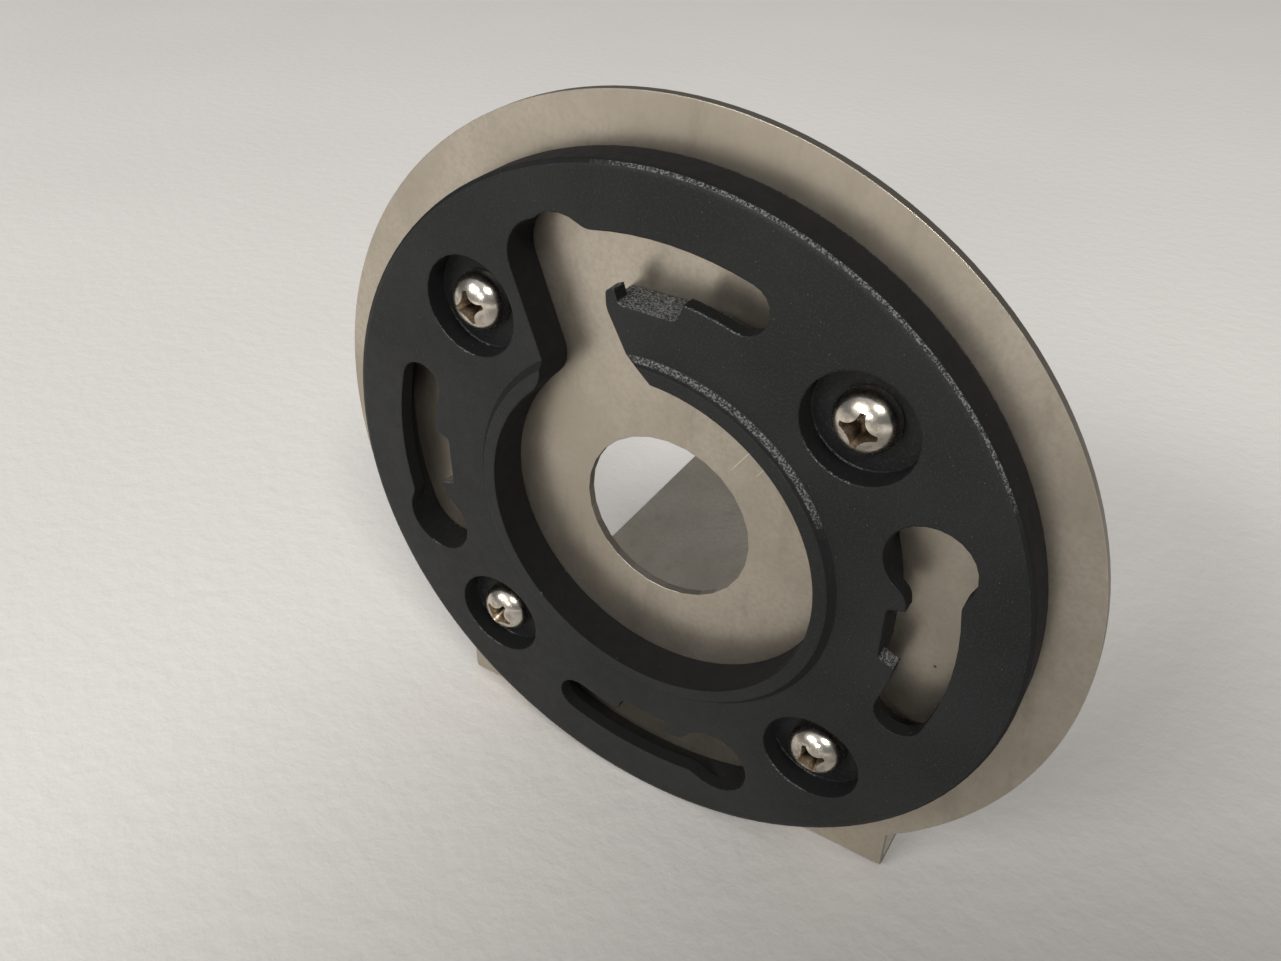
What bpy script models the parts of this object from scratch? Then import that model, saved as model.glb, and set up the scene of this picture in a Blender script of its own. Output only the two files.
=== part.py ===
"""Twist-lock mounting ring on a folded stainless bracket.

A black ring with four keyhole slots is screwed to the round face of a one-piece sheet bracket. The bracket's
foot is folded back below the face, and the assembly stands on it. World frame: metres, +Z up, the face looks
along -Y, and the origin is on the ground under the middle of the bounding box's footprint.

Most shapes are drawn in the face frame: x to the right and y up as seen from the front, z out of the face,
with z = 0 on the front surface of the sheet. The empty "face_frame" turns that frame into the world.
"""

import math

import bmesh
import bpy
from mathutils import Matrix, Vector

MM = 0.001
GAP = 0.1 * MM

# Bracket, one folded sheet
SHEET = 1.2 * MM
FACE_RADIUS = 56.0 * MM
FACE_HEIGHT = 50.0 * MM
CABLE_HOLE_RADIUS = 12.5 * MM
FOOT_WIDTH = 75.0 * MM
FOOT_LENGTH = 100.0 * MM
BEND_RADIUS = 1.0 * MM
FOOT_HOLE_RADIUS = 2.75 * MM
FOOT_HOLE_SPACING = 55.0 * MM
FOOT_HOLE_DEPTHS = (20.0 * MM, 88.0 * MM)

# Ring
RING_RADIUS = 49.9 * MM
RING_FRONT = 5.3 * MM
RING_EDGE_RADIUS = 0.9 * MM
BORE_RADIUS = 24.3 * MM
COLLAR_TOP = RING_FRONT + 0.9 * MM
COLLAR_RADIUS = 27.05 * MM
COLLAR_SLOPE = 0.9 * MM
COLLAR_END = (-1.57 * MM, 25.53 * MM)
COLLAR_END_ANGLE = math.radians(-44.3)

# Keyhole slots: a round entry at one end of an arc-shaped slot, and a wider pocket for the stud heads behind it
SLOT_PATH_RADIUS = 38.75 * MM
SLOT_HALF_WIDTH = 3.2 * MM
SLOT_HALF_ANGLE = math.radians(18.0)
ENTRY_RADIUS = 5.45 * MM
NECK_RADIUS = 2.8 * MM
LIP_THICKNESS = 2.1 * MM
NOTCH_FLOOR = 33.0 * MM
NOTCH_HALF_WIDTH = 3.9 * MM
NOTCH_FLARE = 0.85 * MM

# Keyway from the top slot's entry down to the bore
KEYWAY_LEFT_TILT = math.radians(19.2)
KEYWAY_RIGHT_TILT = math.radians(27.0)
KEYWAY_CORNER_RADIUS = 4.5 * MM
TONGUE_CORNER_RADIUS = 5.0 * MM

# M4 fasteners
SCREW_CIRCLE_RADIUS = 37.5 * MM
SCREW_HOLE_RADIUS = 2.25 * MM
COUNTERBORE_RADIUS = 7.0 * MM
COUNTERBORE_FLOOR = 2.1 * MM
SHANK_RADIUS = 1.95 * MM
SCREW_LENGTH = 10.0 * MM
HEAD_RADIUS = 4.0 * MM
HEAD_HEIGHT = 3.9 * MM
HEAD_SHOULDER = 1.0 * MM
RECESS_HALF_SPAN = 2.45 * MM
RECESS_HALF_WIDTH = 0.4 * MM
RECESS_CORE = 0.85 * MM
RECESS_DEPTH = 2.6 * MM
WASHER_RADIUS = 4.5 * MM
WASHER_HOLE_RADIUS = 2.15 * MM
WASHER_THICKNESS = 0.8 * MM
SPRING_RADIUS = 3.6 * MM
SPRING_THICKNESS = 0.9 * MM
SPRING_SPLIT = 0.8 * MM
NUT_HALF_FLATS = 3.5 * MM
NUT_THICKNESS = 3.2 * MM
NUT_HOLE_RADIUS = 2.0 * MM
NUT_CHAMFER = 0.35 * MM

# Corner of the face, its angle from +x, and how far that screw's recess is turned
SCREWS = (
    ("upper_right", math.radians(45.0), math.radians(-8.0)),
    ("upper_left", math.radians(135.0), math.radians(20.0)),
    ("lower_left", math.radians(225.0), math.radians(-26.0)),
    ("lower_right", math.radians(315.0), math.radians(32.0)),
)

RING_STEPS = 120
SMALL_STEPS = 28
THROUGH = 20.0 * MM


# Outlines, as lists of (x, y) points


def polar(radius, angle):
    return Vector((radius * math.cos(angle), radius * math.sin(angle)))


def arc(centre, radius, start, end, steps):
    """Points on an arc about centre, from angle start to angle end, both included."""
    return [centre + polar(radius, start + (end - start) * i / steps) for i in range(steps + 1)]


def angle_of(point, centre):
    return math.atan2(point.y - centre.y, point.x - centre.x)


def circle_crossing(radius_a, centre_b, radius_b):
    """Where a circle about the origin meets one about centre_b: the two points, as angles about the origin."""
    distance = centre_b.length
    half = math.acos((radius_a**2 + distance**2 - radius_b**2) / (2 * radius_a * distance))
    middle = math.atan2(centre_b.y, centre_b.x)
    return middle - half, middle + half


def nearest_turn(angle, reference):
    """The same angle, moved by whole turns to within half a turn of reference."""
    return angle + math.tau * round((reference - angle) / math.tau)


def neck_fillet(entry, side):
    """The rounding between the entry circle and one edge of the slot: side +1 is the outer edge, -1 the inner.

    Returns its centre. It touches the entry circle from outside and the slot's edge from the ring's side."""
    edge = SLOT_PATH_RADIUS + side * SLOT_HALF_WIDTH
    first, _ = circle_crossing(edge + side * NECK_RADIUS, entry, ENTRY_RADIUS + NECK_RADIUS)
    return polar(edge + side * NECK_RADIUS, first)


def keyhole_outline():
    """The slot through the lip, centred on +x, with its entry at +SLOT_HALF_ANGLE."""
    origin = Vector((0.0, 0.0))
    entry = polar(SLOT_PATH_RADIUS, SLOT_HALF_ANGLE)
    end = polar(SLOT_PATH_RADIUS, -SLOT_HALF_ANGLE)
    outer_neck = neck_fillet(entry, 1)
    inner_neck = neck_fillet(entry, -1)
    outer_turn = angle_of(outer_neck, origin)
    inner_turn = angle_of(inner_neck, origin)

    points = arc(end, SLOT_HALF_WIDTH, -SLOT_HALF_ANGLE - math.pi, -SLOT_HALF_ANGLE, 10)
    points += arc(origin, SLOT_PATH_RADIUS + SLOT_HALF_WIDTH, -SLOT_HALF_ANGLE, outer_turn, 8)[1:]
    away = angle_of(entry, outer_neck)
    start = outer_turn + math.pi
    points += arc(outer_neck, NECK_RADIUS, start, nearest_turn(away, start), 4)[1:]
    first = angle_of(outer_neck, entry)
    last = nearest_turn(angle_of(inner_neck, entry), first + 1.5 * math.pi)
    points += arc(entry, ENTRY_RADIUS, first, last, 18)[1:]
    away = angle_of(entry, inner_neck)
    finish = nearest_turn(inner_turn, away)
    points += arc(inner_neck, NECK_RADIUS, away, finish, 4)[1:]
    points += arc(origin, SLOT_PATH_RADIUS - SLOT_HALF_WIDTH, inner_turn, -SLOT_HALF_ANGLE, 8)[1:-1]
    return points


def pocket_outline():
    """The pocket behind the lip: an arc-shaped slot as wide as the entry all along."""
    origin = Vector((0.0, 0.0))
    entry = polar(SLOT_PATH_RADIUS, SLOT_HALF_ANGLE)
    end = polar(SLOT_PATH_RADIUS, -SLOT_HALF_ANGLE)
    outer = SLOT_PATH_RADIUS + ENTRY_RADIUS
    inner = SLOT_PATH_RADIUS - ENTRY_RADIUS
    points = arc(end, ENTRY_RADIUS, -SLOT_HALF_ANGLE - math.pi, -SLOT_HALF_ANGLE, 12)
    points += arc(origin, outer, -SLOT_HALF_ANGLE, SLOT_HALF_ANGLE, 10)[1:]
    points += arc(entry, ENTRY_RADIUS, SLOT_HALF_ANGLE, SLOT_HALF_ANGLE + math.pi, 12)[1:]
    points += arc(origin, inner, SLOT_HALF_ANGLE, -SLOT_HALF_ANGLE, 10)[1:-1]
    return points


def rounded(corners):
    """A closed outline through corners (x, y, radius), each rounded by a tangent arc."""
    points = []
    count = len(corners)
    for i, (x, y, radius) in enumerate(corners):
        corner = Vector((x, y))
        if radius == 0:
            points.append(corner)
            continue
        before = (Vector(corners[i - 1][:2]) - corner).normalized()
        after = (Vector(corners[(i + 1) % count][:2]) - corner).normalized()
        half = before.angle(after) / 2
        centre = corner + (before + after).normalized() * radius / math.sin(half)
        first = angle_of(corner + before * radius / math.tan(half), centre)
        last = nearest_turn(angle_of(corner + after * radius / math.tan(half), centre), first)
        steps = max(3, round(abs(last - first) / math.radians(12.0)))
        points += arc(centre, radius, first, last, steps)
    return points


def notch_outline():
    """The notch in the slot's inner edge, centred on +x: it opens the lip down to the pocket's wall."""
    mouth = SLOT_PATH_RADIUS - SLOT_HALF_WIDTH
    flare = NOTCH_HALF_WIDTH + NOTCH_FLARE
    return rounded(
        [
            (NOTCH_FLOOR, -NOTCH_HALF_WIDTH, 0.8 * MM),
            (mouth, -flare, 0),
            (mouth + 1.5 * MM, -flare, 0),
            (mouth + 1.5 * MM, flare, 0),
            (mouth, flare, 0),
            (NOTCH_FLOOR, NOTCH_HALF_WIDTH, 0.8 * MM),
        ]
    )


def wall_to_bore(start, direction, side, radius, steps=6):
    """The rounding between the bore and a straight wall that runs outwards through start.

    The ring's body lies to the right of the wall's direction for side +1, to the left for side -1."""
    normal = Vector((direction.y, -direction.x)) * side
    base = start + normal * radius
    along = base.dot(direction)
    root = (BORE_RADIUS + radius) ** 2 - base.length_squared + along**2
    centre = base + direction * (math.sqrt(root) - along)
    first = angle_of(centre.normalized() * BORE_RADIUS, centre)
    last = nearest_turn(angle_of(centre - normal * radius, centre), first)
    return arc(centre, radius, first, last, steps)


def keyway_outline():
    """The opening that joins the top slot's entry to the bore, so that a cable can be led in sideways."""
    left_up = Vector((-math.sin(KEYWAY_LEFT_TILT), math.cos(KEYWAY_LEFT_TILT)))
    right_up = Vector((-math.sin(KEYWAY_RIGHT_TILT), math.cos(KEYWAY_RIGHT_TILT)))
    left_wall = Vector((-17.0 * MM, 26.6 * MM))
    right_wall = Vector((-4.0 * MM, 29.0 * MM))
    left_top = left_wall + left_up * 13.0 * MM
    right_top = right_wall + right_up * 3.6 * MM

    outline = list(reversed(wall_to_bore(right_wall, right_up, 1, TONGUE_CORNER_RADIUS)))
    outline.append(Vector((2.0 * MM, 20.0 * MM)))
    outline.append(Vector((-16.0 * MM, 13.0 * MM)))
    outline += wall_to_bore(left_wall, left_up, -1, KEYWAY_CORNER_RADIUS)
    tail = rounded(
        [
            (left_wall.x, left_wall.y, 0),
            (left_top.x, left_top.y, 5.4 * MM),
            (-11.9 * MM, 42.1 * MM, 0),
            (-3.6 * MM, 38.4 * MM, 0),
            (-3.6 * MM, 35.3 * MM, 0),
            (-5.7 * MM, 34.4 * MM, 0.6 * MM),
            (right_top.x, right_top.y, 3.0 * MM),
            (right_wall.x, right_wall.y, 0),
        ]
    )
    return outline + tail


def cross_outline():
    """The cross recess at the head's surface: four blunt wings with rounded inner corners."""
    span, half, core = RECESS_HALF_SPAN, RECESS_HALF_WIDTH, RECESS_CORE
    wing = [(span, -half, 0.15 * MM), (span, half, 0.15 * MM), (core, core, 1.0 * MM)]
    corners = []
    for quarter in range(4):
        turn = Matrix.Rotation(quarter * math.pi / 2, 2)
        for x, y, radius in wing:
            corner = turn @ Vector((x, y))
            corners.append((corner.x, corner.y, radius))
    return rounded(corners)


# Objects


def new_collection(name):
    collection = bpy.data.collections.new(name)
    bpy.context.scene.collection.children.link(collection)
    return collection


def add_object(name, data, collection, parent=None):
    obj = bpy.data.objects.new(name, data)
    collection.objects.link(obj)
    obj.parent = parent
    return obj


def as_mesh(curve_object):
    """A filled curve made a closed mesh object, because a Boolean takes meshes only."""
    evaluated = curve_object.evaluated_get(bpy.context.evaluated_depsgraph_get())
    mesh = bpy.data.meshes.new_from_object(evaluated)
    bm = bmesh.new()
    bm.from_mesh(mesh)
    bmesh.ops.remove_doubles(bm, verts=bm.verts, dist=1e-6)
    bm.to_mesh(mesh)
    bm.free()
    bpy.data.curves.remove(curve_object.data)
    return mesh


def plate_mesh(name, outline, low, high):
    """The outline as a plate between z = low and z = high."""
    curve = bpy.data.curves.new(name, "CURVE")
    curve.dimensions = "2D"
    curve.fill_mode = "BOTH"
    curve.extrude = (high - low) / 2
    spline = curve.splines.new("POLY")
    spline.points.add(len(outline) - 1)
    for point, place in zip(spline.points, outline):
        point.co = (place.x, place.y, 0.0, 1.0)
    spline.use_cyclic_u = True
    holder = add_object(name + "_curve", curve, bpy.context.scene.collection)
    bpy.context.view_layer.update()
    mesh = as_mesh(holder)
    mesh.transform(Matrix.Translation((0.0, 0.0, (high + low) / 2)))
    return mesh


def turned(name, profile, steps, collection, parent=None, closed=True):
    """A body turned about z from (radius, z) points that run down its outer side."""
    mesh = bpy.data.meshes.new(name)
    vertices = [(radius, 0.0, z) for radius, z in profile]
    edges = [(i, i + 1) for i in range(len(profile) - 1)]
    if closed:
        edges.append((len(profile) - 1, 0))
    mesh.from_pydata(vertices, edges, [])
    obj = add_object(name, mesh, collection, parent)
    screw = obj.modifiers.new("turn", "SCREW")
    screw.steps = steps
    screw.render_steps = steps
    screw.use_merge_vertices = True
    screw.merge_threshold = 1e-6
    return obj


def cutter(obj):
    obj.hide_render = True
    obj.display_type = "WIRE"
    return obj


def cut(target, tool):
    boolean = target.modifiers.new(tool.name, "BOOLEAN")
    boolean.operation = "DIFFERENCE"
    boolean.solver = "EXACT"
    boolean.object = tool


def smooth(obj, limit=math.radians(30.0)):
    """Bakes the modifiers into the mesh and shades it smooth between its sharp edges."""
    evaluated = obj.evaluated_get(bpy.context.evaluated_depsgraph_get())
    mesh = bpy.data.meshes.new_from_object(evaluated)
    obj.modifiers.clear()
    old = obj.data
    obj.data = mesh
    bpy.data.meshes.remove(old)
    mesh.name = obj.name
    mesh.shade_smooth()
    mesh.set_sharp_from_angle(angle=limit)


# Materials


def material(name, colour, metallic, roughness):
    made = bpy.data.materials.new(name)
    made.use_nodes = True
    shader = made.node_tree.nodes["Principled BSDF"]
    shader.inputs["Base Color"].default_value = (*colour, 1.0)
    shader.inputs["Metallic"].default_value = metallic
    shader.inputs["Roughness"].default_value = roughness
    return made


def stainless_sheet():
    return material("stainless_sheet", (0.42, 0.39, 0.34), 1.0, 0.38)


def black_coating():
    return material("black_coating", (0.018, 0.018, 0.019), 0.0, 0.55)


def bright_steel():
    return material("bright_steel", (0.66, 0.63, 0.58), 1.0, 0.2)


def plated_steel():
    return material("plated_steel", (0.55, 0.54, 0.52), 1.0, 0.32)


# Bracket


def bracket_shell():
    """The sheet's front surface: round face, tab, bend and foot, one sheet wide open on its back."""
    half = FOOT_WIDTH / 2
    outer_bend = BEND_RADIUS + SHEET
    bend_top = outer_bend - FACE_HEIGHT
    corner = math.asin(half / FACE_RADIUS)
    round_edge = arc(Vector((0.0, 0.0)), FACE_RADIUS, corner - math.pi / 2, 1.5 * math.pi - corner, 128)

    bm = bmesh.new()
    face = [bm.verts.new((p.x, p.y, 0.0)) for p in round_edge]
    left = bm.verts.new((-half, bend_top, 0.0))
    right = bm.verts.new((half, bend_top, 0.0))
    bm.faces.new(face + [left, right])

    steps = 6
    for i in range(1, steps + 1):
        turn = math.pi / 2 * i / steps
        y = bend_top - outer_bend * math.sin(turn)
        z = outer_bend * (math.cos(turn) - 1)
        next_left = bm.verts.new((-half, y, z))
        next_right = bm.verts.new((half, y, z))
        bm.faces.new((right, left, next_left, next_right))
        left, right = next_left, next_right
    far_left = bm.verts.new((-half, -FACE_HEIGHT, -FOOT_LENGTH))
    far_right = bm.verts.new((half, -FACE_HEIGHT, -FOOT_LENGTH))
    bm.faces.new((right, left, far_left, far_right))

    mesh = bpy.data.meshes.new("mounting_bracket")
    bm.to_mesh(mesh)
    bm.free()
    return mesh


def drill(name, radius, place, axis, cutters, parent):
    """A cylinder cutter through the sheet at place, along the face frame's z or y axis."""
    bpy.ops.mesh.primitive_cylinder_add(vertices=SMALL_STEPS, radius=radius, depth=THROUGH)
    tool = bpy.context.object
    tool.name = name
    for collection in list(tool.users_collection):
        collection.objects.unlink(tool)
    cutters.objects.link(tool)
    tool.parent = parent
    tool.location = place
    if axis == "y":
        tool.rotation_euler = (math.pi / 2, 0.0, 0.0)
    return cutter(tool)


def mounting_bracket(parts, cutters, frame):
    bracket = add_object("mounting_bracket", bracket_shell(), parts, frame)
    solidify = bracket.modifiers.new("sheet", "SOLIDIFY")
    solidify.thickness = SHEET
    solidify.offset = -1.0
    solidify.use_even_offset = True

    cable = drill("cable_hole", CABLE_HOLE_RADIUS, (0.0, 0.0, 0.0), "z", cutters, frame)
    cut(bracket, cable)
    for name, angle, _ in SCREWS:
        spot = polar(SCREW_CIRCLE_RADIUS, angle)
        cut(bracket, drill("sheet_hole_" + name, SCREW_HOLE_RADIUS, (*spot, 0.0), "z", cutters, frame))
    for i, depth in enumerate(FOOT_HOLE_DEPTHS):
        for side in (-1, 1):
            spot = (side * FOOT_HOLE_SPACING / 2, -FACE_HEIGHT, -depth)
            cut(bracket, drill(f"foot_hole_{i}_{side}", FOOT_HOLE_RADIUS, spot, "y", cutters, frame))
    bracket.data.materials.append(stainless_sheet())
    return bracket


# Ring


def ring_profile():
    edge = RING_EDGE_RADIUS
    rounding = arc(Vector((RING_RADIUS - edge, RING_FRONT - edge)), edge, math.pi / 2, 0.0, 3)
    profile = [
        (BORE_RADIUS, COLLAR_TOP),
        (COLLAR_RADIUS - COLLAR_SLOPE, COLLAR_TOP),
        (COLLAR_RADIUS, RING_FRONT),
    ]
    profile += [(p.x, p.y) for p in rounding]
    profile += [(RING_RADIUS, GAP), (BORE_RADIUS, GAP)]
    return profile


def collar_end(cutters, frame):
    """Slopes the end of the collar beside the tongue as its outer side is sloped: a block tipped by 45 degrees."""
    mesh = bpy.data.meshes.new("collar_end")
    bm = bmesh.new()
    size = Matrix.Diagonal((8.0 * MM, 6.0 * MM, 6.0 * MM, 1.0))
    bmesh.ops.create_cube(bm, size=1.0, matrix=Matrix.Translation((0.0, 0.0, 3.0 * MM)) @ size)
    bm.to_mesh(mesh)
    bm.free()
    tool = add_object("collar_end", mesh, cutters, frame)
    tool.location = (*COLLAR_END, RING_FRONT)
    tool.rotation_euler = (math.pi / 4, 0.0, COLLAR_END_ANGLE)
    return cutter(tool)


def twist_lock_ring(parts, cutters, frame):
    ring = turned("twist_lock_ring", ring_profile(), RING_STEPS, parts, frame)
    low, high = -THROUGH, THROUGH
    keyway = add_object("keyway", plate_mesh("keyway", keyway_outline(), low, high), cutters, frame)
    cut(ring, cutter(keyway))
    cut(ring, collar_end(cutters, frame))

    slot = plate_mesh("keyhole_slot", keyhole_outline(), low, high)
    pocket = plate_mesh("head_pocket", pocket_outline(), low, RING_FRONT - LIP_THICKNESS)
    notch = plate_mesh("lip_notch", notch_outline(), low, high)
    for quarter in range(4):
        for name, mesh in (("keyhole_slot", slot), ("head_pocket", pocket), ("lip_notch", notch)):
            tool = add_object(f"{name}_{quarter}", mesh, cutters, frame)
            tool.rotation_euler = (0.0, 0.0, quarter * math.pi / 2)
            cut(ring, cutter(tool))

    step = [
        (0.0, THROUGH),
        (COUNTERBORE_RADIUS, THROUGH),
        (COUNTERBORE_RADIUS, COUNTERBORE_FLOOR),
        (SCREW_HOLE_RADIUS, COUNTERBORE_FLOOR),
        (SCREW_HOLE_RADIUS, -THROUGH),
        (0.0, -THROUGH),
    ]
    for name, angle, _ in SCREWS:
        tool = turned("counterbore_" + name, step, SMALL_STEPS, cutters, frame, closed=False)
        tool.location = (*polar(SCREW_CIRCLE_RADIUS, angle), 0.0)
        cut(ring, cutter(tool))
    ring.data.materials.append(black_coating())
    return ring


# Fasteners, each turned about its own axis


def screw_profile():
    """A pan head with a domed top over a plain shank, from the top of the dome down."""
    under = COUNTERBORE_FLOOR + GAP
    top = under + HEAD_HEIGHT
    steps = 6
    profile = [(0.0, top)]
    for i in range(1, steps + 1):
        turn = math.pi / 2 * i / steps
        radius = HEAD_RADIUS * math.sin(turn)
        height = (HEAD_HEIGHT - HEAD_SHOULDER) * math.cos(turn)
        profile.append((radius, under + HEAD_SHOULDER + height))
    profile += [
        (HEAD_RADIUS, under + 0.25 * MM),
        (HEAD_RADIUS - 0.25 * MM, under),
        (SHANK_RADIUS, under),
        (SHANK_RADIUS, under - SCREW_LENGTH + 0.4 * MM),
        (SHANK_RADIUS - 0.4 * MM, under - SCREW_LENGTH),
        (0.0, under - SCREW_LENGTH),
    ]
    return profile


def recess_mesh():
    """The cross recess as a cutter that narrows downwards."""
    top = COUNTERBORE_FLOOR + GAP + HEAD_HEIGHT
    floor = top - RECESS_DEPTH
    mesh = plate_mesh("cross_recess", cross_outline(), floor, top + 1.0 * MM)
    for vertex in mesh.vertices:
        if vertex.co.z < (floor + top) / 2:
            vertex.co.x *= 0.5
            vertex.co.y *= 0.5
    return mesh


def pan_screw(name, spot, turn, recess, parts, cutters, frame, finish):
    screw = turned("pan_screw_" + name, screw_profile(), SMALL_STEPS, parts, frame, closed=False)
    screw.location = (*spot, 0.0)
    tool = add_object("cross_recess_" + name, recess, cutters, frame)
    tool.location = (*spot, 0.0)
    tool.rotation_euler = (0.0, 0.0, turn)
    cut(screw, cutter(tool))
    screw.data.materials.append(finish)
    return screw


def tube_profile(inner, outer, top, thickness):
    bottom = top - thickness
    return [(inner, top), (outer, top), (outer, bottom), (inner, bottom)]


def flat_washer(name, spot, top, parts, frame, finish):
    profile = tube_profile(WASHER_HOLE_RADIUS, WASHER_RADIUS, top, WASHER_THICKNESS)
    washer = turned("flat_washer_" + name, profile, SMALL_STEPS, parts, frame)
    washer.location = (*spot, 0.0)
    washer.data.materials.append(finish)
    return washer


def spring_washer(name, spot, top, parts, cutters, frame, finish):
    """A split lock washer, pressed flat, with its split on the side away from the cable hole."""
    profile = tube_profile(WASHER_HOLE_RADIUS, SPRING_RADIUS, top, SPRING_THICKNESS)
    washer = turned("spring_washer_" + name, profile, SMALL_STEPS, parts, frame)
    washer.location = (*spot, 0.0)
    outwards = Vector(spot).normalized()
    split = bpy.data.meshes.new("washer_split")
    bm = bmesh.new()
    bmesh.ops.create_cube(bm, size=1.0, matrix=Matrix.Diagonal((SPRING_RADIUS * 2, SPRING_SPLIT, THROUGH, 1.0)))
    bm.to_mesh(split)
    bm.free()
    tool = add_object("washer_split_" + name, split, cutters, frame)
    tool.location = (*(Vector(spot) + outwards * SPRING_RADIUS), 0.0)
    tool.rotation_euler = (0.0, 0.0, math.atan2(outwards.y, outwards.x) + math.radians(20.0))
    cut(washer, cutter(tool))
    washer.data.materials.append(finish)
    return washer


def hex_nut(name, spot, top, turn, parts, cutters, frame, finish):
    """A hexagon with both rims chamfered: the hexagon is cut from a turned blank by its outside."""
    corner = NUT_HALF_FLATS / math.cos(math.pi / 6)
    bottom = top - NUT_THICKNESS
    blank = [
        (0.0, top),
        (corner - NUT_CHAMFER * 1.4, top),
        (corner + 0.05 * MM, top - NUT_CHAMFER),
        (corner + 0.05 * MM, bottom + NUT_CHAMFER),
        (corner - NUT_CHAMFER * 1.4, bottom),
        (0.0, bottom),
    ]
    nut = turned("hex_nut_" + name, blank, SMALL_STEPS, parts, frame, closed=False)
    nut.location = (*spot, 0.0)
    hexagon = [polar(corner, turn + i * math.pi / 3) for i in range(6)]
    prism = add_object(
        "nut_hexagon_" + name, plate_mesh("nut_hexagon", hexagon, bottom - THROUGH, top + THROUGH), cutters, frame
    )
    prism.location = nut.location
    meet = nut.modifiers.new("flats", "BOOLEAN")
    meet.operation = "INTERSECT"
    meet.solver = "EXACT"
    meet.object = cutter(prism)
    cut(nut, drill("nut_hole_" + name, NUT_HOLE_RADIUS, (*spot, 0.0), "z", cutters, frame))
    nut.data.materials.append(finish)
    return nut


def fasteners(parts, cutters, frame):
    bright = bright_steel()
    plated = plated_steel()
    recess = recess_mesh()
    washer_top = -SHEET - GAP
    spring_top = washer_top - WASHER_THICKNESS - GAP
    nut_top = spring_top - SPRING_THICKNESS - GAP
    made = []
    for name, angle, turn in SCREWS:
        spot = polar(SCREW_CIRCLE_RADIUS, angle)
        made.append(pan_screw(name, spot, turn, recess, parts, cutters, frame, bright))
        made.append(flat_washer(name, spot, washer_top, parts, frame, plated))
        made.append(spring_washer(name, spot, spring_top, parts, cutters, frame, plated))
        made.append(hex_nut(name, spot, nut_top, turn, parts, cutters, frame, plated))
    return made


def main():
    for obj in list(bpy.data.objects):
        bpy.data.objects.remove(obj)
    parts = new_collection("twist_lock_mount")
    cutters = new_collection("cutters")
    frame = add_object("face_frame", None, parts)
    frame.location = (0.0, (COLLAR_TOP - FOOT_LENGTH) / 2, FACE_HEIGHT)
    frame.rotation_euler = (math.pi / 2, 0.0, 0.0)

    made = [mounting_bracket(parts, cutters, frame), twist_lock_ring(parts, cutters, frame)]
    made += fasteners(parts, cutters, frame)
    bpy.context.view_layer.update()
    for obj in made:
        smooth(obj)


main()
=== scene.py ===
"""Twist-lock mounting ring on a folded stainless bracket: the visual model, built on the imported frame.

Sizes are in metres. Fasteners are drawn about their own axis, with z out of the ring's face, and are then
turned into the world, where the face looks along -Y.
"""

import math

import bmesh
import bpy
from mathutils import Matrix, Vector


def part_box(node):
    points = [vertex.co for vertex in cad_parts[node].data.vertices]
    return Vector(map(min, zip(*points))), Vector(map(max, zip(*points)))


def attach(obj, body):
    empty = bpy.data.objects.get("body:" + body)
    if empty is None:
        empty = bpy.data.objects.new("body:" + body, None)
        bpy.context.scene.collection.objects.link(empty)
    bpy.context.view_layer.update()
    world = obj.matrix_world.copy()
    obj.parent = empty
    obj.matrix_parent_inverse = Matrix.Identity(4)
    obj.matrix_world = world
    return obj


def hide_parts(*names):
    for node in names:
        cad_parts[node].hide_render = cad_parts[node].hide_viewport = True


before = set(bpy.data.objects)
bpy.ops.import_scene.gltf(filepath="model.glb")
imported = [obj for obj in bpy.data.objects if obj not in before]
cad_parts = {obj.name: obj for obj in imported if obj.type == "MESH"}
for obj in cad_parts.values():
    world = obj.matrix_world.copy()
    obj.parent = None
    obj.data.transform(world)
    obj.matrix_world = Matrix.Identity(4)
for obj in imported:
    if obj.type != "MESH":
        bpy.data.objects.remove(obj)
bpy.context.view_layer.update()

MM = 0.001
CORNERS = ("upper_right", "upper_left", "lower_left", "lower_right")
# How far each screw, and the nut behind it, is turned, in degrees
SCREW_TURN = {"upper_right": -8.0, "upper_left": 15.0, "lower_left": -30.0, "lower_right": 28.0}

FACE_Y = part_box("mounting_bracket")[0].y
RING_LOW, RING_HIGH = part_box("twist_lock_ring")
CENTRE = Vector(((RING_LOW.x + RING_HIGH.x) / 2, FACE_Y, (RING_LOW.z + RING_HIGH.z) / 2))

# Screw heads: a dome above a short straight side
HEAD_HEIGHT, HEAD_SHOULDER, HEAD_RADIUS = 3.9 * MM, 1.0 * MM, 4.0 * MM
NECK_RADIUS = 1.7 * MM
THREAD_CREST, THREAD_ROOT, THREAD_PITCH = 1.94 * MM, 1.6 * MM, 0.7 * MM
RECESS_SPAN, RECESS_HALF_WIDTH, RECESS_HOLLOW = 2.68 * MM, 0.40 * MM, 0.56 * MM
RECESS_LENGTH, RECESS_TAPER, RECESS_REACH = 3.4 * MM, 0.52, 3.1 * MM
DOME_STEPS, RECESS_STEPS = 24, 8

# Nuts
NUT_HALF_FLATS, NUT_CHAMFER = 3.5 * MM, 0.5 * MM
NUT_HOLE_RADIUS, NUT_MOUTH_RADIUS = 1.98 * MM, 2.9 * MM

# The coating is coarse, and pale with a painted highlight, where the collar's slope and the slots' notches
# face up and towards the lamps; the notches lie near the upright and the level line through the ring's
# centre. Notch sides between the two SMOOTH_HEIGHTS are smooth and get no painted highlight
NOTCH_OFFSET = 8.0 * MM
NOTCH_RADII = (31.8 * MM, 35.45 * MM)
SMOOTH_HEIGHTS = (0.0, 12.0 * MM)
SLOPE_LIT_GRAIN_RADII = (26.40 * MM, 26.55 * MM)

# Painted highlights go on edges of the counterbores, which lie well off both lines, at the top slot and on
# the outer rim
EDGE_HIGHLIGHT_OFFSET, EDGE_HIGHLIGHT_HEIGHT, EDGE_HIGHLIGHT_RADIUS = 17.0 * MM, 30.0 * MM, 48.5 * MM

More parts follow.
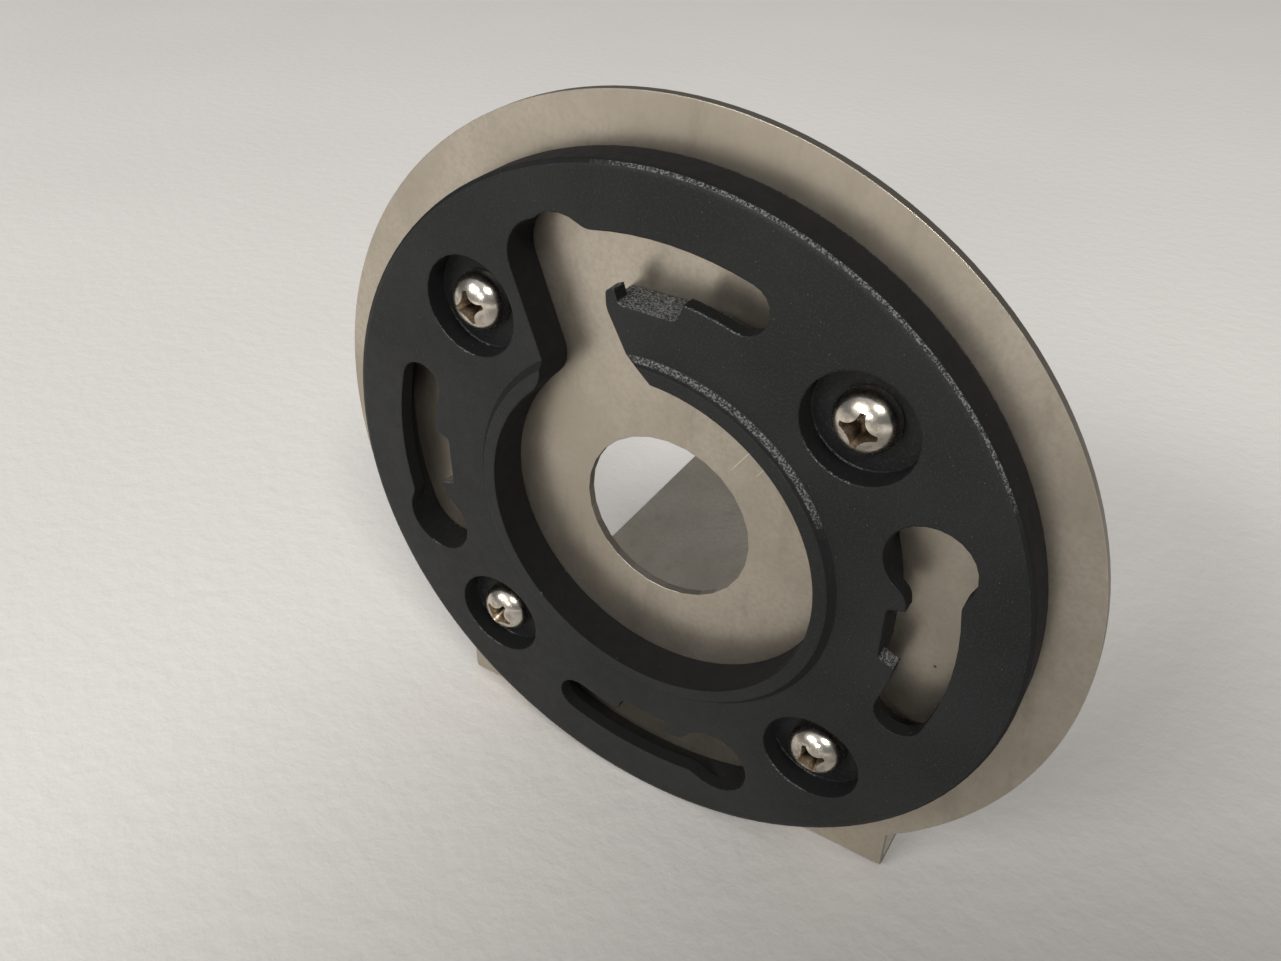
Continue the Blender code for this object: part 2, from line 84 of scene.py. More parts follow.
# Scratches on the sheet: start and end as x and height above the ring's centre, then width
SCRATCHES = (
    ((12.3 * MM, 16.0 * MM), (9.0 * MM, 11.2 * MM), 0.09 * MM),
    ((15.2 * MM, 15.5 * MM), (12.5 * MM, 11.5 * MM), 0.07 * MM),
)
# The sheared edge is the face's rim, above this height, and the foot's end, behind this depth
FACE_BOTTOM, FOOT_DEPTH = -40.0 * MM, FACE_Y + 3 * MM

# Lamps stand at one distance from the object's origin and face the target: each one's name, the way to it,
# its size and its power
LAMP_DISTANCE = 2.3
LAMP_TARGET = (0.0, -0.03, 0.04)
LAMP_COLOUR = (1.0, 0.975, 0.94)
LAMPS = (
    ("front_left", (-0.30, -0.76, 0.57), (0.90, 0.42), 25.0),
    ("front_right", (0.47, -0.48, 0.73), (0.72, 0.40), 25.0),
    ("front_far", (0.12, -0.92, 0.36), (0.46, 0.18), 6.0),
)

# A painted shadow darkens the pale floor in front of the ring and to its right, so that the metal, which
# mirrors the floor, shows a tone from side to side
PAINTED_SHADOW_AT = (0.12, -0.125)
PAINTED_SHADOW_RADII = (0.05, 0.22)
FLOOR_HALF_SIDE = 8.0

# The camera: its place from the ring's centre, which ways are right and forward, and its lens in millimetres
CAMERA_PLACE = (0.0575, -0.0989, 0.0895)
CAMERA_RIGHT = (0.8469, 0.5317, 0.0053)
CAMERA_FORWARD = (-0.4273, 0.6864, -0.5885)
CAMERA_LENS, CAMERA_SENSOR = 30.26, 36.0

# Colours of the sheet: its pale and dark clouds, and the fine mottle over both
STEEL_PALE = (0.555, 0.502, 0.424)
STEEL_DARK = (0.42, 0.375, 0.305)
STEEL_MOTTLE = (0.40, 0.355, 0.29)


# Node helpers


def new_material(name):
    material = bpy.data.materials.new(name)
    material.use_nodes = True
    tree = material.node_tree
    return material, tree, tree.nodes["Principled BSDF"]


def add_node(tree, kind, inputs=None, **settings):
    """A shader node with its settings and input values. An input that is a socket is linked."""
    node = tree.nodes.new(kind)
    for key, value in settings.items():
        setattr(node, key, value)
    for key, value in (inputs or {}).items():
        if isinstance(value, bpy.types.NodeSocket):
            tree.links.new(value, node.inputs[key])
        else:
            node.inputs[key].default_value = value
    return node


def math_node(tree, operation, first, second=0.0, clamp=False):
    node = add_node(tree, "ShaderNodeMath", {0: first, 1: second}, operation=operation, use_clamp=clamp)
    return node.outputs[0]


def product(tree, *factors):
    result = factors[0]
    for factor in factors[1:]:
        result = math_node(tree, "MULTIPLY", result, factor)
    return result


def largest(tree, *values):
    result = values[0]
    for value in values[1:]:
        result = math_node(tree, "MAXIMUM", result, value)
    return result


def ramp(tree, value, low, high, to_low=0.0, to_high=1.0):
    """value taken smoothly from low..high to to_low..to_high, and held at the ends."""
    inputs = {"Value": value, "From Min": low, "From Max": high, "To Min": to_low, "To Max": to_high}
    return add_node(tree, "ShaderNodeMapRange", inputs, interpolation_type="SMOOTHSTEP").outputs["Result"]


def mix_colour(tree, factor, first, second):
    node = add_node(tree, "ShaderNodeMix", data_type="RGBA")
    for index, value in ((0, factor), (6, first), (7, second)):
        if isinstance(value, bpy.types.NodeSocket):
            tree.links.new(value, node.inputs[index])
        elif index == 0:
            node.inputs[index].default_value = value
        else:
            node.inputs[index].default_value = (*value, 1.0)
    return node.outputs[2]


def coordinates(tree, scale=(1.0, 1.0, 1.0)):
    place = tree.nodes.new("ShaderNodeTexCoord").outputs["Object"]
    if scale == (1.0, 1.0, 1.0):
        return place
    return add_node(tree, "ShaderNodeMapping", {"Vector": place, "Scale": scale}).outputs["Vector"]


def noise(tree, scale, detail=2.0, rough=0.5, stretch=(1.0, 1.0, 1.0)):
    inputs = {"Vector": coordinates(tree, stretch), "Scale": scale, "Detail": detail, "Roughness": rough}
    return add_node(tree, "ShaderNodeTexNoise", inputs).outputs["Fac"]


def specks(tree, scale, size, share):
    """Sparse round specks: 1 inside a speck, 0 outside. share is the part of the cells that hold one."""
    inputs = {"Vector": coordinates(tree), "Scale": scale, "Randomness": 1.0}
    cells = add_node(tree, "ShaderNodeTexVoronoi", inputs)
    chance = add_node(tree, "ShaderNodeSeparateColor", {"Color": cells.outputs["Color"]}).outputs[0]
    chosen = math_node(tree, "LESS_THAN", chance, share)
    near = ramp(tree, cells.outputs["Distance"], size * 0.6, size, 1.0, 0.0)
    return product(tree, chosen, near)


def bump(tree, height, distance, below=None):
    inputs = {"Height": height, "Distance": distance, "Strength": 1.0}
    if below is not None:
        inputs["Normal"] = below
    return add_node(tree, "ShaderNodeBump", inputs).outputs["Normal"]


def rounded_normal(tree, radius):
    """Normals rounded over at the edges, and a mask that is 1 along an edge and 0 away from it."""
    bevel = add_node(tree, "ShaderNodeBevel", {"Radius": radius}, samples=4)
    geometry = tree.nodes.new("ShaderNodeNewGeometry")
    inputs = {0: bevel.outputs["Normal"], 1: geometry.outputs["Normal"]}
    dot = add_node(tree, "ShaderNodeVectorMath", inputs, operation="DOT_PRODUCT").outputs["Value"]
    return bevel.outputs["Normal"], ramp(tree, dot, 0.80, 0.985, 1.0, 0.0)


def facing_parts(tree):
    """The three parts of the surface's own direction, seen from the object."""
    geometry = tree.nodes.new("ShaderNodeNewGeometry")
    inputs = {0: geometry.outputs["Normal"]}
    turned = add_node(tree, "ShaderNodeVectorTransform", inputs, convert_from="WORLD", convert_to="OBJECT")
    split = add_node(tree, "ShaderNodeSeparateXYZ", {0: turned.outputs[0]})
    return split.outputs["X"], split.outputs["Y"], split.outputs["Z"]


def over(tree, value, limit):
    """1 where the size of value is over the limit."""
    return math_node(tree, "GREATER_THAN", math_node(tree, "ABSOLUTE", value), limit)


def hypotenuse(tree, first, second):
    square = math_node(tree, "ADD", product(tree, first, first), product(tree, second, second))
    return math_node(tree, "SQRT", square)


def face_frame_parts(tree):
    """Where a point lies: x, height above the ring's centre, depth y, and distance from the ring's axis."""
    split = add_node(tree, "ShaderNodeSeparateXYZ", {0: coordinates(tree)})
    x = split.outputs["X"]
    up = math_node(tree, "SUBTRACT", split.outputs["Z"], CENTRE.z)
    return x, up, split.outputs["Y"], hypotenuse(tree, x, up)


def off_axes(tree, x, up):
    """How far a point of the face is from the nearer of the upright and the level line through the centre."""
    return math_node(tree, "MINIMUM", math_node(tree, "ABSOLUTE", x), math_node(tree, "ABSOLUTE", up))


def scratch(tree, x, up, start, end, width):
    """A fine straight scratch on the face from start to end, as 1 on its line and 0 away from it."""
    start, end = Vector(start), Vector(end)
    along = end - start
    length = along.length
    along.normalize()
    dx = math_node(tree, "SUBTRACT", x, start.x)
    dy = math_node(tree, "SUBTRACT", up, start.y)
    run = math_node(tree, "ADD", product(tree, dx, along.x), product(tree, dy, along.y))
    off = math_node(tree, "SUBTRACT", product(tree, dx, along.y), product(tree, dy, along.x))
    off = math_node(tree, "ABSOLUTE", off)
    on_line = ramp(tree, off, width * 0.4, width, 1.0, 0.0)
    after_start = ramp(tree, run, 0.0, length * 0.15)
    before_end = ramp(tree, run, length * 0.8, length, 1.0, 0.0)
    return product(tree, after_start, before_end, on_line)


# Materials


def stainless_sheet():
    """Cold-rolled stainless with a fine matt grain, dark specks, handling scratches and a sheared edge."""
    material, tree, shader = new_material("stainless_sheet_look")
    x, up, depth, _ = face_frame_parts(tree)
    across, out, rise = facing_parts(tree)
    rounding, edge = rounded_normal(tree, 0.16 * MM)
    cloud = noise(tree, 48.0, 4.0, 0.6)
    mottle = noise(tree, 1500.0, 4.0, 0.65)
    colour = mix_colour(tree, ramp(tree, cloud, 0.3, 0.7), STEEL_DARK, STEEL_PALE)
    colour = mix_colour(tree, ramp(tree, mottle, 0.35, 0.7, 0.0, 0.5), colour, STEEL_MOTTLE)
    smear = noise(tree, 1.0, 5.0, 0.65, (210.0, 210.0, 60.0))
    colour = mix_colour(tree, ramp(tree, smear, 0.52, 0.72, 0.0, 0.28), colour, (0.25, 0.22, 0.175))
    dark = specks(tree, 210.0, 0.055, 0.16)
    colour = mix_colour(tree, dark, colour, (0.12, 0.10, 0.08))
    pale = largest(tree, *[scratch(tree, x, up, *each) for each in SCRATCHES])
    colour = mix_colour(tree, product(tree, pale, 0.7), colour, (0.80, 0.77, 0.70))

    in_face = math_node(tree, "GREATER_THAN", up, FACE_BOTTOM)
    in_foot = math_node(tree, "GREATER_THAN", depth, FOOT_DEPTH)
    rim = product(tree, over(tree, rise, 0.5), in_face)
    end = product(tree, over(tree, out, 0.5), in_foot)
    sheared = largest(tree, rim, end, over(tree, across, 0.5))
    colour = mix_colour(tree, product(tree, sheared, 0.8), colour, (0.15, 0.13, 0.105))
    colour = mix_colour(tree, product(tree, edge, 0.5), colour, (0.80, 0.76, 0.68))
    tree.links.new(colour, shader.inputs["Base Color"])
    shader.inputs["Metallic"].default_value = 0.90

    rough = ramp(tree, noise(tree, 160.0, 4.0, 0.6), 0.3, 0.7, 0.31, 0.36)
    rough = math_node(tree, "ADD", rough, product(tree, sheared, 0.12))
    rough = math_node(tree, "ADD", rough, product(tree, dark, 0.3))
    tree.links.new(rough, shader.inputs["Roughness"])
    rolled = bump(tree, noise(tree, 1.0, 3.0, 0.6, (5200.0, 5200.0, 700.0)), 0.0000016, rounding)
    normal = bump(tree, noise(tree, 4200.0, 2.0, 0.6), 0.0000022, rolled)
    tree.links.new(normal, shader.inputs["Normal"])
    return material


def lamp_side(tree, across, rise):
    """How far a surface leans up and to the right, towards the lamps, where painted highlights go."""
    return math_node(tree, "ADD", product(tree, across, 0.38), product(tree, rise, 0.72))


def coarse_lit_places(tree):
    """Where the coating is coarse and gets a painted highlight: on the sides of the slots' notches that face
    up, and on the collar's slope where it leans towards the lamps.
    """
    x, up, _, radius = face_frame_parts(tree)
    across, out, rise = facing_parts(tree)
    notch = product(
        tree,
        math_node(tree, "GREATER_THAN", out, -0.3),
        math_node(tree, "LESS_THAN", off_axes(tree, x, up), NOTCH_OFFSET),
        math_node(tree, "LESS_THAN", radius, NOTCH_RADII[1]),
        math_node(tree, "GREATER_THAN", radius, NOTCH_RADII[0]),
        ramp(tree, rise, 0.35, 0.7),
        largest(
            tree,
            math_node(tree, "LESS_THAN", up, SMOOTH_HEIGHTS[0]),
            math_node(tree, "GREATER_THAN", up, SMOOTH_HEIGHTS[1]),
        ),
    )
    slope = product(
        tree,
        ramp(tree, out, -0.96, -0.80),
        ramp(tree, out, -0.5, -0.25, 1.0, 0.0),
        ramp(tree, radius, *SLOPE_LIT_GRAIN_RADII),
        ramp(tree, lamp_side(tree, across, rise), 0.455, 0.51, 0.0, 0.95),
    )
    return largest(tree, notch, slope)


def edge_highlight_places(tree, rounding):
    """Where edges get a pale, grainy painted highlight: some of those that lean up and to the right, towards
    the lamps, by the rounded normals.
    """
    x, up, _, radius = face_frame_parts(tree)
    place = largest(
        tree,
        math_node(tree, "GREATER_THAN", off_axes(tree, x, up), EDGE_HIGHLIGHT_OFFSET),
        math_node(tree, "GREATER_THAN", up, EDGE_HIGHLIGHT_HEIGHT),
        math_node(tree, "GREATER_THAN", radius, EDGE_HIGHLIGHT_RADIUS),
    )
    turned = add_node(tree, "ShaderNodeSeparateXYZ", {0: rounding})
    out = turned.outputs["Y"]
    lean = math_node(tree, "SQRT", math_node(tree, "SUBTRACT", 1.0, product(tree, out, out), True))
    lit = lamp_side(tree, turned.outputs["X"], turned.outputs["Z"])
    lit = math_node(tree, "DIVIDE", lit, largest(tree, lean, 0.2))
    return product(tree, ramp(tree, lit, 0.66, 0.76), ramp(tree, lean, 0.30, 0.50), place)


def black_coating():
    """Matt black powder coat with a fine grain, coarser where the tool left the metal rough. Painted
    highlights make the coarse places and some edges pale where they face the lamps, and painted shade darkens
    the walls.
    """
    material, tree, shader = new_material("black_coating_look")
    rounding, edge = rounded_normal(tree, 0.40 * MM)
    coarse_lit_place = coarse_lit_places(tree)
    _, out, _ = facing_parts(tree)
    shaded_walls = ramp(tree, out, -0.96, -0.6)
    cloud = noise(tree, 55.0, 3.0)
    powder = noise(tree, 3600.0, 2.0, 0.6)
    colour = mix_colour(tree, ramp(tree, cloud, 0.3, 0.7), (0.006, 0.0068, 0.0072), (0.011, 0.012, 0.0125))
    colour = mix_colour(tree, ramp(tree, powder, 0.5, 0.7, 0.0, 0.6), colour, (0.024, 0.025, 0.026))
    # Painted shade: the walls, all but the front face, are far darker than the face
    colour = mix_colour(tree, product(tree, shaded_walls, 0.9), colour, (0.0015, 0.0015, 0.0017))
    coarse = noise(tree, 4200.0, 3.0, 0.7)
    grain = ramp(tree, coarse, 0.44, 0.60)
    # Painted highlight: the coarse places that face the lamps are pale in their grain
    pale = product(tree, coarse_lit_place, ramp(tree, coarse, 0.44, 0.60, 0.05, 1.0))
    colour = mix_colour(tree, pale, colour, (0.155, 0.158, 0.155))
    # Painted highlight: pale grainy edges where they lean up and to the right, towards the lamps
    painted_edge_highlight = product(tree, grain, edge_highlight_places(tree, rounding), edge)
    colour = mix_colour(tree, product(tree, painted_edge_highlight, 0.9), colour, (0.28, 0.28, 0.275))
    sparkle = specks(tree, 2300.0, 0.16, 0.03)
    colour = mix_colour(tree, product(tree, sparkle, 0.6), colour, (0.16, 0.16, 0.16))
    tree.links.new(colour, shader.inputs["Base Color"])
    rough = ramp(tree, noise(tree, 420.0, 3.0, 0.6), 0.3, 0.7, 0.46, 0.56)
    rough = math_node(tree, "ADD", rough, product(tree, shaded_walls, 0.38))
    tree.links.new(rough, shader.inputs["Roughness"])
    shader.inputs["Specular IOR Level"].default_value = 0.32
    fine = bump(tree, powder, 0.000034, rounding)
    normal = bump(tree, product(tree, coarse_lit_place, coarse), 0.00008, fine)
    tree.links.new(normal, shader.inputs["Normal"])
    return material


def polished_steel(name, colour, worn_colour, roughness):
    """Bright drawn steel with faint turning marks and smudges."""
    material, tree, shader = new_material(name)
    smudge = noise(tree, 560.0, 4.0, 0.65)
    tint = mix_colour(tree, ramp(tree, smudge, 0.42, 0.7), colour, worn_colour)
    tree.links.new(tint, shader.inputs["Base Color"])
    shader.inputs["Metallic"].default_value = 1.0
    rough = ramp(tree, smudge, 0.3, 0.75, roughness, roughness + 0.13)
    tree.links.new(rough, shader.inputs["Roughness"])
    marks = noise(tree, 9000.0, 2.0, 0.6)
    dents = bump(tree, noise(tree, 900.0, 2.0), 0.000035)
    tree.links.new(bump(tree, marks, 0.0000012, dents), shader.inputs["Normal"])
    return material


def recess_steel():
    """The struck cross recess: rough, with a warm tint from lubricant and first rust, and painted shade that
    makes it darker towards its bottom.
    """
    material, tree, shader = new_material("recess_steel_look")
    stain = noise(tree, 1600.0, 3.0, 0.65)
    colour = mix_colour(tree, ramp(tree, stain, 0.35, 0.65), (0.74, 0.65, 0.53), (0.32, 0.25, 0.17))
    height = add_node(tree, "ShaderNodeSeparateXYZ", {0: coordinates(tree)}).outputs["Z"]
    # Painted shade: darker the deeper it lies in the recess
    colour = mix_colour(tree, ramp(tree, height, 4.0 * MM, 5.1 * MM, 0.7, 0.0), colour, (0.10, 0.075, 0.05))
    tree.links.new(colour, shader.inputs["Base Color"])
    shader.inputs["Metallic"].default_value = 1.0
    tree.links.new(ramp(tree, stain, 0.3, 0.7, 0.28, 0.45), shader.inputs["Roughness"])
    tree.links.new(bump(tree, noise(tree, 2600.0, 2.0), 0.00002), shader.inputs["Normal"])
    return material


def floor_surface():
    """Matt, faintly uneven, with a painted shadow that darkens it in front of the ring and to its right."""
    material, tree, shader = new_material("pale_floor")
    cloud = noise(tree, 9.0, 3.0)
    colour = mix_colour(tree, cloud, (0.69, 0.665, 0.635), (0.75, 0.725, 0.695))
    split = add_node(tree, "ShaderNodeSeparateXYZ", {0: coordinates(tree)})
    across = math_node(tree, "SUBTRACT", split.outputs["X"], PAINTED_SHADOW_AT[0])
    along = math_node(tree, "SUBTRACT", split.outputs["Y"], PAINTED_SHADOW_AT[1])
    # Painted shadow: the floor's colour goes dark around this place, in front of the ring and to its right
    painted_shadow = ramp(tree, hypotenuse(tree, across, along), *PAINTED_SHADOW_RADII, 0.9, 0.0)
    colour = mix_colour(tree, painted_shadow, colour, (0.20, 0.193, 0.184))
    tree.links.new(colour, shader.inputs["Base Color"])
    shader.inputs["Roughness"].default_value = 0.75
    shader.inputs["Specular IOR Level"].default_value = 0.3
    tree.links.new(bump(tree, noise(tree, 260.0, 3.0, 0.6), 0.00025), shader.inputs["Normal"])
    return material


# Mesh helpers


def link(obj):
    bpy.context.scene.collection.objects.link(obj)
    return obj


def body(name, bm):
    """An object made of the closed body in bm, with its faces turned outwards."""
    bmesh.ops.recalc_face_normals(bm, faces=bm.faces)
    mesh = bpy.data.meshes.new(name)
    bm.to_mesh(mesh)
    bm.free()
    return link(bpy.data.objects.new(name, mesh))


def revolved(name, profile, steps):
    """A closed body turned about z from (radius, z) points, from its top middle to its bottom middle."""
    bm = bmesh.new()
    rings = []
    for radius, z in profile:
        if radius == 0:
            rings.append([bm.verts.new((0.0, 0.0, z))])
            continue
        turns = [math.tau * i / steps for i in range(steps)]
        rings.append([bm.verts.new((radius * math.cos(t), radius * math.sin(t), z)) for t in turns])
    for above, below in zip(rings, rings[1:]):
        for i in range(steps):
            j = (i + 1) % steps
            if len(above) == 1:
                bm.faces.new((above[0], below[i], below[j]))
            elif len(below) == 1:
                bm.faces.new((above[i], below[0], above[j]))
            else:
                bm.faces.new((above[i], below[i], below[j], above[j]))
    return body(name, bm)


def lofted(name, sections):
    """A closed body through equal-length rings of points, with flat ends."""
    bm = bmesh.new()
    rings = [[bm.verts.new(point) for point in section] for section in sections]
    count = len(rings[0])
    for above, below in zip(rings, rings[1:]):
        for i in range(count):
            j = (i + 1) % count
            bm.faces.new((above[i], above[j], below[j], below[i]))
    bm.faces.new(rings[0])
    bm.faces.new(list(reversed(rings[-1])))
    return body(name, bm)


def combine(target, tool, operation):
    """Cuts, joins or trims target with tool, which is then removed."""
    boolean = target.modifiers.new(operation, "BOOLEAN")
    boolean.operation = operation
    boolean.solver = "EXACT"
    boolean.object = tool
    bpy.context.view_layer.update()
    evaluated = target.evaluated_get(bpy.context.evaluated_depsgraph_get())
    mesh = bpy.data.meshes.new_from_object(evaluated)
    target.modifiers.clear()
    target.data = mesh
    bpy.data.objects.remove(tool)


def soft_edges(obj, width, angle):
    """A narrow rounding along the edges that are sharper than this angle, in degrees."""
    bevel = obj.modifiers.new("edges", "BEVEL")
    bevel.width = width
    bevel.segments = 2
    bevel.limit_method = "ANGLE"
    bevel.angle_limit = math.radians(angle)
    bevel.harden_normals = True


def smooth_shaded(obj, angle):
    """Smooth shading, apart from the edges that are sharper than this angle, in degrees."""
    obj.data.shade_smooth()
    obj.data.set_sharp_from_angle(angle=math.radians(angle))


def softened(obj):
    """Smooth shading that keeps flat faces flat, with the node's own mesh as it is."""
    smooth_shaded(obj, 32.0)
    weighted = obj.modifiers.new("flats", "WEIGHTED_NORMAL")
    weighted.keep_sharp = True
    weighted.weight = 100


# Fasteners


def star(radius_scale, z, steps=7):
    """The cross recess in plan: four narrow wings joined by hollow curves."""
    span, half = RECESS_SPAN, RECESS_HALF_WIDTH
    points = []
    for quarter in range(4):
        turn = Matrix.Rotation(quarter * math.pi / 2, 2)
        tip = [(span, -half), (span + 0.1 * MM, 0.0), (span, half)]
        bend = []
        start, end, pull = Vector((span, half)), Vector((half, span)), Vector((RECESS_HOLLOW, RECESS_HOLLOW))
        for i in range(1, steps):
            t = i / steps
            bend.append(start * (1 - t) ** 2 + pull * 2 * t * (1 - t) + end * t**2)
        for point in [Vector(p) for p in tip] + bend:
            place = turn @ point * radius_scale
            points.append((place.x, place.y, z))
    return points


def threaded_rod(name, top, bottom, crest, root, pitch, steps=40):
    """A threaded shank: a rod whose radius follows a 60-degree thread that winds down it."""
    rows = int((top - bottom) / pitch * 8)
    bm = bmesh.new()
    rings = []
    for row in range(rows + 1):
        z = top + (bottom - top) * row / rows
        fade = min(1.0, (z - bottom) / (0.5 * pitch) + 0.15)
        ring = []
        for i in range(steps):
            turn = math.tau * i / steps
            phase = (z / pitch + i / steps) % 1.0
            flank = abs(2 * phase - 1)
            depth = min(1.0, max(0.0, (flank - 0.1) / 0.75))
            radius = root + (crest - root) * depth * fade
            ring.append(bm.verts.new((radius * math.cos(turn), radius * math.sin(turn), z)))
        rings.append(ring)
    for above, below in zip(rings, rings[1:]):
        for i in range(steps):
            j = (i + 1) % steps
            bm.faces.new((above[i], below[i], below[j], above[j]))
    bm.faces.new(list(reversed(rings[0])))
    bm.faces.new(rings[-1])
    return body(name, bm)


def into_face(obj, node, turn):
    """Turns a piece drawn about z into the world, on the axis of the node it stands for."""
    low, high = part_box(node)
    x, z = (low.x + high.x) / 2, (low.z + high.z) / 2
    place = Matrix.Translation((x, FACE_Y, z)) @ Matrix.Rotation(math.pi / 2, 4, "X")
    obj.matrix_world = place @ Matrix.Rotation(math.radians(turn), 4, "Z")


def screw_head(name, top, under):
    """A domed head, with a neck under it that the shank is joined to."""
    dome = HEAD_HEIGHT - HEAD_SHOULDER
    profile = [(0.0, top)]
    for i in range(1, DOME_STEPS + 1):
        turn = math.pi / 2 * i / DOME_STEPS
        profile.append((HEAD_RADIUS * math.sin(turn), top - dome * (1 - math.cos(turn))))
    profile += [(HEAD_RADIUS, under + 0.30 * MM), (HEAD_RADIUS - 0.08 * MM, under + 0.08 * MM)]
    profile += [(HEAD_RADIUS - 0.3 * MM, under), (NECK_RADIUS, under)]
    profile += [(NECK_RADIUS, under - 1.0 * MM), (0.0, under - 1.0 * MM)]
    return revolved(name, profile, 96)


def recess_cutter(name, top):
    """The cross recess, from a flared start above the head to its narrow end."""
    sections = []
    for i in range(RECESS_STEPS + 1):
        t = i / RECESS_STEPS
        scale = 1.0 - RECESS_TAPER * t
        flare = 0.12 if i == 0 else 0.0
        sections.append(star(scale + flare, top + 0.6 * MM - t * RECESS_LENGTH))
    return lofted(name, sections)


def paint_screw(screw, top, under, bright, recess_look):
    """Bright all over, apart from the recess: the faces near the axis that lie below the dome."""
    screw.data.materials.clear()
    screw.data.materials.append(bright)
    screw.data.materials.append(recess_look)
    for face in screw.data.polygons:
        centre = face.center
        radius = math.hypot(centre.x, centre.y)
        share = min(1.0, radius / HEAD_RADIUS)
        dome = top - (HEAD_HEIGHT - HEAD_SHOULDER) * (1 - math.sqrt(max(0.0, 1 - share**2)))
        inside = radius < RECESS_REACH and centre.z > under + 0.2 * MM
        face.material_index = 1 if inside and dome - centre.z > 0.06 * MM else 0


def pan_screw(corner, bright, recess_look):
    node = "pan_screw_" + corner
    low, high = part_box(node)
    top, tail = FACE_Y - low.y, FACE_Y - high.y
    under = top - HEAD_HEIGHT
    screw = screw_head("screw_" + corner, top, under)
    combine(screw, recess_cutter("recess_" + corner, top), "DIFFERENCE")
    shank = threaded_rod("shank_" + corner, under - 0.5 * MM, tail, THREAD_CREST, THREAD_ROOT, THREAD_PITCH)
    combine(screw, shank, "UNION")
    paint_screw(screw, top, under, bright, recess_look)
    soft_edges(screw, 0.06 * MM, 38.0)
    smooth_shaded(screw, 40.0)
    into_face(screw, node, SCREW_TURN[corner])
    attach(screw, "screw_" + corner)
    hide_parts(node)


def hex_nut(corner, finish):
    node = "hex_nut_" + corner
    low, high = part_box(node)
    top, bottom = FACE_Y - low.y, FACE_Y - high.y
    corner_radius = NUT_HALF_FLATS / math.cos(math.pi / 6)
    turned_radius, flat_radius = corner_radius + 0.02 * MM, NUT_HALF_FLATS * 0.97
    blank = [
        (0.0, top),
        (flat_radius, top),
        (turned_radius, top - NUT_CHAMFER * 0.75),
        (turned_radius, bottom + NUT_CHAMFER * 0.75),
        (flat_radius, bottom),
        (0.0, bottom),
    ]
    nut = revolved("nut_" + corner, blank, 120)
    hexagon = [math.tau * i / 6 for i in range(6)]
    levels = (top + MM, bottom - MM)
    sides = [[(corner_radius * math.cos(t), corner_radius * math.sin(t), z) for t in hexagon] for z in levels]
    combine(nut, lofted("hexagon_" + corner, sides), "INTERSECT")
    hole = [
        (0.0, top + MM),
        (NUT_MOUTH_RADIUS, top + 0.5 * MM),
        (NUT_HOLE_RADIUS, top - 0.42 * MM),
        (NUT_HOLE_RADIUS, bottom + 0.42 * MM),
        (NUT_MOUTH_RADIUS, bottom - 0.5 * MM),
        (0.0, bottom - MM),
    ]
    combine(nut, revolved("nut_bore_" + corner, hole, 64), "DIFFERENCE")
    nut.data.materials.clear()
    nut.data.materials.append(finish)
    soft_edges(nut, 0.08 * MM, 30.0)
    smooth_shaded(nut, 28.0)
    into_face(nut, node, SCREW_TURN[corner])
    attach(nut, "nut_" + corner)
    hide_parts(node)


# Stage


def area_light(name, way, size, power):
    data = bpy.data.lights.new(name, "AREA")
    data.shape = "RECTANGLE"
    data.size, data.size_y = size
    data.energy = power
    data.color = LAMP_COLOUR
    obj = link(bpy.data.objects.new(name, data))
    obj.location = Vector(way).normalized() * LAMP_DISTANCE
    obj.rotation_euler = (Vector(LAMP_TARGET) - obj.location).to_track_quat("-Z", "Y").to_euler()


def stage(floor_look):
    bm = bmesh.new()
    bmesh.ops.create_grid(bm, x_segments=1, y_segments=1, size=FLOOR_HALF_SIDE)
    mesh = bpy.data.meshes.new("floor")
    bm.to_mesh(mesh)
    bm.free()
    mesh.materials.append(floor_look)
    floor = link(bpy.data.objects.new("floor", mesh))

    room_light()
    for name, way, size, power in LAMPS:
        area_light(name, way, size, power)


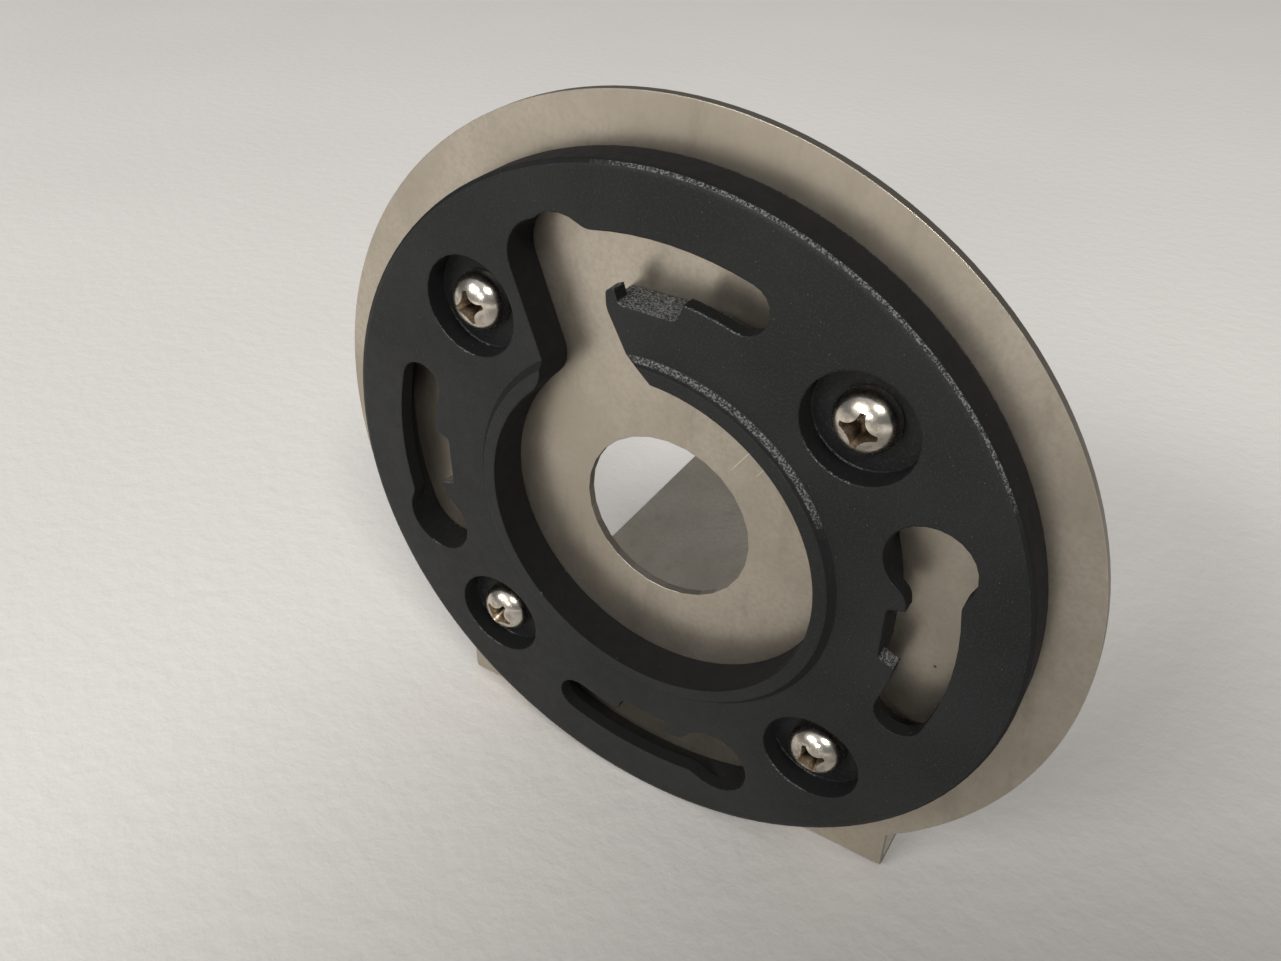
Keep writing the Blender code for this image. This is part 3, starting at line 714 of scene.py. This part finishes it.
def room_light():
    """A room that is dim all round and brighter overhead."""
    world = bpy.data.worlds.new("room")
    world.use_nodes = True
    tree = world.node_tree
    place = tree.nodes.new("ShaderNodeTexCoord").outputs["Generated"]
    rise = add_node(tree, "ShaderNodeSeparateXYZ", {0: place}).outputs["Z"]
    strength = ramp(tree, rise, 0.50, 1.0, 0.17, 0.60)
    background = tree.nodes["Background"]
    background.inputs["Color"].default_value = (0.96, 0.98, 1.0, 1.0)
    tree.links.new(strength, background.inputs["Strength"])
    bpy.context.scene.world = world


def camera():
    data = bpy.data.cameras.new("camera")
    data.lens = CAMERA_LENS
    data.sensor_width = CAMERA_SENSOR
    data.sensor_fit = "HORIZONTAL"
    data.clip_start = 0.005
    data.clip_end = 20.0
    right = Vector(CAMERA_RIGHT).normalized()
    forward = Vector(CAMERA_FORWARD).normalized()
    up = right.cross(forward).normalized()
    forward = up.cross(right)
    turn = Matrix((right, up, -forward)).transposed().to_4x4()
    obj = link(bpy.data.objects.new("camera", data))
    obj.matrix_world = Matrix.Translation(CENTRE + Vector(CAMERA_PLACE)) @ turn
    bpy.context.scene.camera = obj


def repaint(node, look):
    """The frame's own mesh of this node, in a new material."""
    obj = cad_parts[node]
    if not obj.data.materials:
        obj.data.materials.append(look)
    for slot in obj.material_slots:
        slot.material = look
    return obj


def main():
    sheet_look = stainless_sheet()
    coating_look = black_coating()
    bright = polished_steel("bright_steel_look", (0.70, 0.65, 0.575), (0.40, 0.355, 0.295), 0.19)
    dull = polished_steel("plated_steel_look", (0.62, 0.60, 0.57), (0.46, 0.44, 0.41), 0.26)
    recess_look = recess_steel()

    bracket = repaint("mounting_bracket", sheet_look)
    softened(bracket)
    ring = repaint("twist_lock_ring", coating_look)
    softened(ring)
    for corner in CORNERS:
        for kind in ("flat_washer_", "spring_washer_"):
            softened(repaint(kind + corner, dull))
        pan_screw(corner, bright, recess_look)
        hex_nut(corner, dull)

    stage(floor_surface())
    camera()
    bpy.context.scene.view_settings.view_transform = "Standard"


main()
